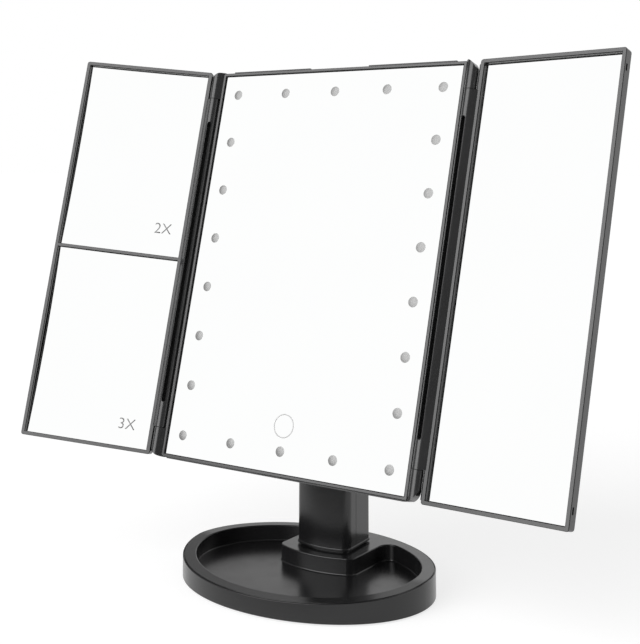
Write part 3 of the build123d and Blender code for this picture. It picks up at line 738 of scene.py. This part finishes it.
# ---------------------------------------------------------------- head
@dataclass(frozen=True)
class LightWindow:
    """Low dome of frosted plastic that fills one round window of the mirror."""

    radius: float = 2.84 * MM
    skirt: float = 0.15 * MM
    edge_slope: float = math.radians(10)
    crown: float = 0.97  # share of the edge's slope that is gone at the innermost ring
    rings: int = 8
    sides: int = 48

    def model(self) -> bpy.types.Object:
        """Model the dome, standing on the origin with its crown up.

        Returns:
            The dome as a new object.
        """
        bpy.ops.object.select_all(action="DESELECT")
        middle = (0, 0, self.skirt / 2)
        bpy.ops.mesh.primitive_cylinder_add(
            vertices=self.sides, radius=self.radius, depth=self.skirt, location=middle
        )
        dome = bpy.context.object
        bpy.ops.object.transform_apply(location=True)
        sphere = self.radius / math.sin(self.edge_slope)
        with Bench.editing(dome, lambda centre, normal: normal.z > ALONG):
            slope = self.edge_slope
            for ring in range(1, self.rings + 1):
                last, slope = slope, self.edge_slope * (1 - self.crown * ring / self.rings)
                rise = sphere * (math.cos(slope) - math.cos(last))
                narrow = math.sin(slope) / math.sin(last)
                bpy.ops.mesh.extrude_region_move(TRANSFORM_OT_translate={"value": (0, 0, rise)})
                bpy.ops.transform.resize(value=(narrow, narrow, 1))
        return dome


@dataclass
class LitHead:
    """Centre panel: mirror with its windows and touch ring, frame, cover and bracket."""

    bench: Bench
    window: LightWindow = LightWindow()
    window_seat: float = 0.15 * MM  # how far a dome's foot lies behind the mirror's surface
    window_rows: int = 8
    row_reach: float = 102.4 * MM  # height of the outermost rows above and below the middle
    outer_column: float = 69.7 * MM
    inner_column: float = 34.6 * MM
    ring_up: float = -88.4 * MM
    ring_radius: float = 6.65 * MM
    ring_line: float = 0.62 * MM
    open_half_width: float = 81.02 * MM
    open_half_height: float = 114.62 * MM
    frame_lip: float = 0.9 * MM
    gasket_line: float = 0.45 * MM
    gasket_depth: float = 0.4 * MM
    pivot_across: float = 86.7 * MM
    parting_up: float = 99.8 * MM
    washer_radius: float = 3.14 * MM
    washer_line: float = 0.30 * MM
    washer_height: float = 0.32 * MM
    bracket_face: float = 14.5 * MM
    screw_across: float = 12.0 * MM
    screw_rows: tuple[float, float] = (-5.0 * MM, 18.0 * MM)  # up from the tilt axis
    screw: CrossHeadScrew = CrossHeadScrew(
        head_radius=2.8 * MM, shank_radius=1.3 * MM, head=1.6 * MM, length=6.6 * MM
    )

    def place(self) -> Matrix:
        """Matrix from the head's own coordinates."""
        return self.bench.head_place()

    def dress(self) -> None:
        """Give the head's own nodes their finish."""
        self.bench.dress(FRAME_BLACK, "main_frame")
        self.bench.dress(HOUSING_BLACK, "main_back_cover", "tilt_bracket")
        self.bench.dress(FLAT_MIRROR, "main_mirror")
        self.bench.dress(WINDOW_WHITE, "led_diffuser")
        self.bench.dress(CHIP_YELLOW, "led_chips")
        self.bench.dress(BOARD_GREEN, "led_board", "touch_board")
        self.bench.dress(SCREW_ZINC, "hinge_pins")

    def window_places(self) -> list[tuple[float, float]]:
        """Work out where the windows are.

        Returns:
            The windows' centres, across and up, from the top row down.
        """
        pitch = 2 * self.row_reach / (self.window_rows - 1)
        places = []
        for row in range(self.window_rows):
            full = row in (0, self.window_rows - 1)
            inner = (-self.inner_column, 0.0, self.inner_column) if full else ()
            for across in (-self.outer_column, *inner, self.outer_column):
                places.append((across, self.row_reach - pitch * row))
        return places

    def build_windows(self) -> None:
        """Set a dome into every window."""
        pattern = self.window.model()
        for count, (across, up) in enumerate(self.window_places(), start=1):
            piece = Bench.twin(pattern)
            seat = Matrix.Translation((across, self.window_seat, up))
            Bench.settle(piece, self.place() @ seat @ TO_FRONT)
            name = f"light_window_{count:02d}"
            self.bench.hand_in(piece, name, WINDOW_WHITE, "head", "frosted_window")
        Bench.discard(pattern)

    def build_touch_ring(self) -> None:
        """Print the ring that marks the touch switch."""
        ring = Bench.ring(self.ring_radius, self.ring_line, INK)
        seat = Matrix.Translation((0, -INK / 2, self.ring_up))
        Bench.settle(ring, self.place() @ seat @ TO_FRONT)
        self.bench.hand_in(ring, "touch_ring", RING_INK, "head", "frosted_window")

    def build_gasket(self) -> None:
        """Lay the dark gasket between the frame and the glass."""
        width, height = 2 * self.open_half_width, 2 * self.open_half_height
        gasket = Bench.liner(width, height, self.gasket_line, self.gasket_depth)
        front = -self.frame_lip + GASKET_RECESS + self.gasket_depth / 2
        Bench.settle(gasket, self.place() @ Matrix.Translation((0, front, 0)))
        self.bench.hand_in(gasket, "main_gasket", GASKET_RUBBER, "head", "foot_rubber")

    def build_washers(self) -> None:
        """Put a dark washer into each parting line of the wings' hinges."""
        pattern = Bench.ring(self.washer_radius, self.washer_line, self.washer_height)
        corners = [(x, z) for x in (-1, 1) for z in (-1, 1)]
        for count, (x, z) in enumerate(corners, start=1):
            piece = Bench.twin(pattern)
            seat = (x * self.pivot_across, -PIVOT_DEPTH, z * self.parting_up)
            Bench.settle(piece, self.place() @ Matrix.Translation(seat))
            name = f"hinge_washer_{count}"
            self.bench.hand_in(piece, name, GASKET_RUBBER, "head", "foot_rubber")
        Bench.discard(pattern)

    def build_screws(self) -> None:
        """Model the four screws of the bracket."""
        pattern = self.screw.model()
        axis = self.place().inverted() @ Vector(self.bench.joints["head_tilt"]["pos_m"])
        corners = [(x * self.screw_across, up) for up in self.screw_rows for x in (-1, 1)]
        for count, (across, up) in enumerate(corners, start=1):
            piece = Bench.twin(pattern)
            seat = Matrix.Translation((across, self.bracket_face, axis.z + up))
            Bench.settle(piece, self.place() @ seat @ TO_FRONT)
            self.bench.hand_in(piece, f"bracket_screw_{count}", SCREW_ZINC, "head", "screw_steel")
            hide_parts("bracket_screws")
        Bench.discard(pattern)

    def build(self) -> None:
        """Finish the whole head."""
        self.dress()
        self.build_windows()
        self.build_touch_ring()
        self.build_gasket()
        self.build_washers()
        self.build_screws()


# ---------------------------------------------------------------- wings
class Side(Enum):
    """Which side of the head a wing hangs on."""

    LEFT = "left"
    RIGHT = "right"


class Strength(Enum):
    """Magnifying strengths of the left wing's two mirrors."""

    TWO = ("2X", "left_mirror_2x", -20.0 * MM, 17.5 * MM)
    THREE = ("3X", "left_mirror_3x", -22.0 * MM, -101.3 * MM)

    def __init__(self, letters: str, mirror: str, across: float, up: float) -> None:
        """Name the values of the option.

        Args:
            letters: The printed mark.
            mirror: Node of the mirror that carries it.
            across: Where the mark's middle is, along X from the wing's hinge axis.
            up: Where it is along Z from the wing's middle.
        """
        self.letters = letters
        self.mirror = mirror
        self.across = across
        self.up = up


@dataclass
class Wing:
    """Folding side mirror."""

    bench: Bench
    side: Side
    mark_height: float = 6.5 * MM
    mark_front: float = 0.4 * MM
    type_size: float = 1.42  # size of the type against the height of its capitals
    thinning: float = 0.012  # taken off each side of a stroke, against that height
    closest_points: float = 0.02 * MM  # points of an outline that are closer are merged
    open_inner: float = 6.18 * MM  # the frame's opening, across from the hinge's axis
    open_outer: float = 83.72 * MM
    open_half_height: float = 114.52 * MM
    bar_half: float = 0.73 * MM  # half the height of the bar between the two mirrors
    frame_front: float = 0.2 * MM
    gasket_line: float = 0.27 * MM
    gasket_depth: float = 0.35 * MM

    def place(self) -> Matrix:
        """Where the wing is, as it stands open.

        Returns:
            Matrix from the wing's own coordinates, with X to the viewer's right.
        """
        joint = self.bench.joints[f"{self.side.value}_wing_hinge"]
        open_angle = math.radians(-joint["range_deg"][0])
        turn = open_angle if self.side is Side.LEFT else -open_angle
        head = self.bench.head_place().to_3x3().to_4x4()
        return Matrix.Translation(joint["pos_m"]) @ head @ Matrix.Rotation(turn, 4, "Z")

    def dress(self) -> None:
        """Give the wing's own nodes their finish."""
        side = self.side.value
        self.bench.dress(FRAME_BLACK, f"{side}_wing_frame")
        self.bench.dress(HOUSING_BLACK, f"{side}_wing_back")
        if self.side is Side.RIGHT:
            self.bench.dress(FLAT_MIRROR, "right_mirror")
        else:
            self.bench.dress(CONCAVE_MIRROR, *(strength.mirror for strength in Strength))

    def build_gasket(self, name: str, low: float, high: float) -> None:
        """Lay a dark gasket round one mirror.

        Args:
            name: The gasket's name.
            low: Bottom of the frame's opening.
            high: Top of the opening.
        """
        width = self.open_outer - self.open_inner
        gasket = Bench.liner(width, high - low, self.gasket_line, self.gasket_depth)
        across = (self.open_inner + self.open_outer) / 2
        if self.side is Side.LEFT:
            across = -across
        front = self.frame_front + GASKET_RECESS + self.gasket_depth / 2
        Bench.settle(gasket, self.place() @ Matrix.Translation((across, front, (low + high) / 2)))
        body = f"{self.side.value}_wing"
        self.bench.hand_in(gasket, name, GASKET_RUBBER, body, "foot_rubber")

    def print_mark(self, strength: Strength) -> None:
        """Print a mirror's strength on its glass.

        Args:
            strength: Which mirror to mark.
        """
        bpy.ops.object.select_all(action="DESELECT")
        bpy.ops.object.text_add()
        text = bpy.context.object
        text.data.body = strength.letters
        text.data.size = self.mark_height * self.type_size
        text.data.align_x = "CENTER"
        text.data.align_y = "CENTER"
        text.data.offset = -self.thinning * self.mark_height
        bpy.ops.object.convert(target="MESH")
        mark = bpy.context.object
        with Bench.editing(mark, lambda centre, normal: True):
            bpy.ops.mesh.remove_doubles(threshold=self.closest_points)
            bpy.ops.mesh.normals_make_consistent(inside=False)
        seat = Matrix.Translation((strength.across, self.mark_front, strength.up))
        Bench.settle(mark, self.place() @ seat @ TO_FRONT)
        wrap = mark.modifiers.new("lie on the glass", "SHRINKWRAP")
        wrap.target = self.bench.nodes[strength.mirror]
        wrap.wrap_mode = "ABOVE_SURFACE"
        wrap.offset = INK
        Bench.bake_modifiers(mark)
        thicken = mark.modifiers.new("ink", "SOLIDIFY")
        thicken.thickness = INK
        Bench.bake_modifiers(mark)
        with Bench.editing(mark, lambda centre, normal: True):
            bpy.ops.mesh.normals_make_consistent(inside=False)
        name = f"mark_{strength.letters.lower()}"
        self.bench.hand_in(mark, name, MARK_INK, "left_wing", "frosted_window")

    def build(self) -> None:
        """Finish the whole wing."""
        self.dress()
        if self.side is Side.RIGHT:
            self.build_gasket("right_gasket", -self.open_half_height, self.open_half_height)
            return
        self.build_gasket("upper_left_gasket", self.bar_half, self.open_half_height)
        self.build_gasket("lower_left_gasket", -self.open_half_height, -self.bar_half)
        for strength in Strength:
            self.print_mark(strength)


# ---------------------------------------------------------------- studio
class LightBoard:
    """Node tree of the floor or the world, put together step by step."""

    def __init__(self, tree: bpy.types.NodeTree) -> None:
        """Take over a node tree."""
        self.tree = tree

    def plug(self, value: Socket | float, socket: Socket) -> None:
        """Fill a socket.

        Args:
            value: A number, or the socket that carries one.
            socket: The socket to fill.
        """
        if isinstance(value, float):
            socket.default_value = value
        else:
            self.tree.links.new(value, socket)

    def combine(self, how: str, first: Socket | float, second: Socket | float) -> Socket:
        """Work out one value from two.

        Args:
            how: Operation of the maths node.
            first: The first value.
            second: The second value.

        Returns:
            The socket that carries the result.
        """
        node = self.tree.nodes.new("ShaderNodeMath")
        node.operation = how
        self.plug(first, node.inputs[0])
        self.plug(second, node.inputs[1])
        return node.outputs["Value"]

    def choose(self, when: Socket, then: Socket | float, otherwise: Socket | float) -> Socket:
        """Choose between two values.

        Args:
            when: Socket that is 1 or 0.
            then: Value for 1.
            otherwise: Value for 0.

        Returns:
            The socket that carries the choice.
        """
        mix = self.tree.nodes.new("ShaderNodeMix")
        self.plug(when, mix.inputs["Factor"])
        self.plug(otherwise, mix.inputs["A"])
        self.plug(then, mix.inputs["B"])
        return mix.outputs["Result"]

    def any_ray(self, *kinds: str) -> Socket:
        """Tell some kinds of rays from all others.

        Args:
            *kinds: Names of the Light Path outputs to look for.

        Returns:
            A socket that is 1 for those rays and 0 for the rest.
        """
        rays = self.tree.nodes.new("ShaderNodeLightPath")
        total = rays.outputs[kinds[0]]
        for name in kinds[1:]:
            total = self.combine("MAXIMUM", total, rays.outputs[name])
        return total

    def backwards(self, vector: Socket) -> Socket:
        """Take the Y of a place or a direction, which grows towards the back.

        Args:
            vector: Socket that carries the place or the direction.

        Returns:
            The socket that carries its Y.
        """
        split = self.tree.nodes.new("ShaderNodeSeparateXYZ")
        self.plug(vector, split.inputs["Vector"])
        return split.outputs["Y"]

    def soft_step(self, source: Socket, edges: Span, values: Span) -> Socket:
        """Pass softly from one value to another.

        Args:
            source: Socket that carries what the step depends on.
            edges: Where the step begins and where it ends.
            values: What it gives before its beginning and after its end.

        Returns:
            The socket that carries the value.
        """
        step = self.tree.nodes.new("ShaderNodeMapRange")
        step.interpolation_type = "SMOOTHSTEP"
        sockets = ("From Min", "From Max", "To Min", "To Max")
        for socket, value in zip(sockets, (*edges, *values)):
            step.inputs[socket].default_value = value
        self.plug(source, step.inputs["Value"])
        return step.outputs["Result"]


@dataclass(frozen=True)
class SoftBox:
    """Round soft box, far away; the silvered mirrors show the white room instead of it."""

    name: str
    across: float
    up: float
    width: float
    brightness: float
    edge: float = 5.0

    def direction(self) -> Vector:
        """Where the soft box is, seen from the object.

        Returns:
            The unit vector towards it; across counts from the front to the viewer's right.
        """
        across, up = math.radians(self.across), math.radians(self.up)
        flat = math.cos(up)
        return Vector((math.sin(across) * flat, -math.cos(across) * flat, math.sin(up)))

    def hang(self) -> None:
        """Hang it as a lamp that lights matt surfaces."""
        bpy.ops.object.select_all(action="DESELECT")
        tilt = math.radians(90 - self.up)  # a lamp that isn't turned shines straight down
        turn = (tilt, 0, math.radians(self.across))
        bpy.ops.object.light_add(type="SUN", rotation=turn)
        lamp = bpy.context.object
        lamp.name = self.name
        reach = math.sin(math.radians(self.width / 2))
        lamp.data.energy = self.brightness * math.pi * reach**2
        lamp.data.angle = math.radians(self.width)
        lamp.visible_glossy = False

    def sheen(self, board: LightBoard, towards: Socket) -> Socket:
        """Show it to soft gloss as a disc with a soft edge.

        Args:
            board: The world's nodes.
            towards: Socket that carries the ray's direction.

        Returns:
            The socket that carries its brightness in that direction.
        """
        dot = board.tree.nodes.new("ShaderNodeVectorMath")
        dot.operation = "DOT_PRODUCT"
        dot.inputs[1].default_value = self.direction()
        board.plug(towards, dot.inputs[0])
        inner, outer = either_side(self.width / 2, self.edge)
        edges = (math.cos(math.radians(outer)), math.cos(math.radians(inner)))
        return board.soft_step(dot.outputs["Value"], edges, (0.0, self.brightness))


@dataclass
class Studio:
    """Pale floor, soft light and the camera."""

    floor_size: float = 40.0
    floor_colour: float = 0.35
    floor_lift: float = 0.74  # glow that lifts the lit floor to white
    floor_edge: Span = (-0.15, -0.05)  # Y between which gloss sees the floor turn white
    floor_gloss: float = 0.16  # share of the glow that gloss sees in front of that
    sky_light: float = 0.42  # white from all round, on matt surfaces
    room_gloss: float = 0.30  # brightness of the room in front, for gloss
    backdrop_edge: Span = (0.55, 0.85)  # Y of the directions between which it turns white
    soft_boxes: tuple[SoftBox, ...] = (
        SoftBox("front_box", across=-17.0, up=28.0, width=59.0, brightness=3.5),
        SoftBox("side_box", across=105.0, up=5.0, width=36.0, brightness=2.4),
    )
    camera_place: tuple[float, float, float] = (0.37968, -0.54076, 0.23819)
    camera_yaw: float = 34.38
    camera_pitch: float = 5.27
    lens: float = 67.10
    camera_shift: tuple[float, float] = (-0.0006, -0.0766)
    sensor_width: float = 36.0

    def room(self, board: LightBoard) -> Socket:
        """Paint what soft gloss sees: a white backdrop, a dim room in front, the soft boxes.

        Args:
            board: The world's nodes.

        Returns:
            The socket that carries the room's brightness.
        """
        towards = board.tree.nodes.new("ShaderNodeTexCoord").outputs["Generated"]
        values = (self.room_gloss, 1.0)
        total = board.soft_step(board.backwards(towards), self.backdrop_edge, values)
        for soft_box in self.soft_boxes:
            total = board.combine("ADD", total, soft_box.sheen(board, towards))
        return total

    def build_world(self) -> None:
        """Surround the scene with white and light it from all round."""
        world = bpy.data.worlds.new("studio_world")
        bpy.context.scene.world = world
        world.use_nodes = True
        board = LightBoard(world.node_tree)
        background = board.tree.nodes["Background"]
        background.inputs["Color"].default_value = (1, 1, 1, 1)
        gloss = board.any_ray("Is Glossy Ray")
        shown = board.any_ray(*SHOWN_RAYS)
        light = board.choose(gloss, self.room(board), self.sky_light)
        board.plug(board.choose(shown, 1.0, light), background.inputs["Strength"])

    def white_near(self, board: LightBoard) -> Socket:
        """Let soft gloss see the floor white near the object and behind it, dimmer in front.

        Args:
            board: The floor's nodes.

        Returns:
            A socket that is 1 near the object and behind it, and floor_gloss far in front.
        """
        place = board.tree.nodes.new("ShaderNodeNewGeometry").outputs["Position"]
        return board.soft_step(board.backwards(place), self.floor_edge, (self.floor_gloss, 1.0))

    def floor_material(self) -> bpy.types.Material:
        """Make the pale floor's material, which glows for the rays that see it white.

        Returns:
            The node material.
        """
        material = bpy.data.materials.new("floor_white")
        material.use_nodes = True
        board = LightBoard(material.node_tree)
        nodes = board.tree.nodes
        nodes.clear()
        matt = nodes.new("ShaderNodeBsdfDiffuse")
        matt.inputs["Color"].default_value = (self.floor_colour,) * 3 + (1,)
        glow = nodes.new("ShaderNodeEmission")
        gloss = board.any_ray("Is Glossy Ray")
        shown = board.any_ray(*SHOWN_RAYS)
        white = board.choose(shown, 1.0, board.choose(gloss, self.white_near(board), 0.0))
        board.plug(board.combine("MULTIPLY", white, self.floor_lift), glow.inputs["Strength"])
        both = nodes.new("ShaderNodeAddShader")
        board.plug(matt.outputs["BSDF"], both.inputs[0])
        board.plug(glow.outputs["Emission"], both.inputs[1])
        output = nodes.new("ShaderNodeOutputMaterial")
        board.plug(both.outputs["Shader"], output.inputs["Surface"])
        return material

    def build_floor(self) -> None:
        """Lay the pale floor."""
        bpy.ops.object.select_all(action="DESELECT")
        bpy.ops.mesh.primitive_plane_add(size=self.floor_size)
        floor = bpy.context.object
        floor.name = "studio_floor"
        floor.data.materials.append(self.floor_material())

    def build_lamps(self) -> None:
        """Hang the soft boxes."""
        for soft_box in self.soft_boxes:
            soft_box.hang()

    def build_camera(self) -> None:
        """Set up the camera."""
        camera = bpy.data.cameras.new("camera")
        camera.sensor_fit = "HORIZONTAL"
        camera.sensor_width = self.sensor_width
        camera.lens = self.lens
        camera.shift_x, camera.shift_y = self.camera_shift
        eye = bpy.data.objects.new("camera", camera)
        bpy.context.scene.collection.objects.link(eye)
        eye.location = self.camera_place
        tilt = math.radians(90 - self.camera_pitch)  # an unturned camera looks straight down
        eye.rotation_euler = (tilt, 0, math.radians(self.camera_yaw))
        bpy.context.scene.camera = eye

    def build(self) -> None:
        """Set up the whole studio."""
        self.build_world()
        self.build_floor()
        self.build_lamps()
        self.build_camera()
        bpy.context.scene.view_settings.view_transform = "Standard"


def main() -> None:
    """Load the frame, finish every sub-assembly and set up the studio."""
    logging.basicConfig(level=logging.INFO, format="%(name)s: %(message)s")
    bench = Bench(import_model())
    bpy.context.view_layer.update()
    wings = (Wing(bench, side) for side in Side)
    for part in (TrayBase(bench), BatteryColumn(bench), LitHead(bench), *wings):
        LOG.info("building %s", type(part).__name__)
        part.build()
    Studio().build()


if __name__ == "__main__":
    main()
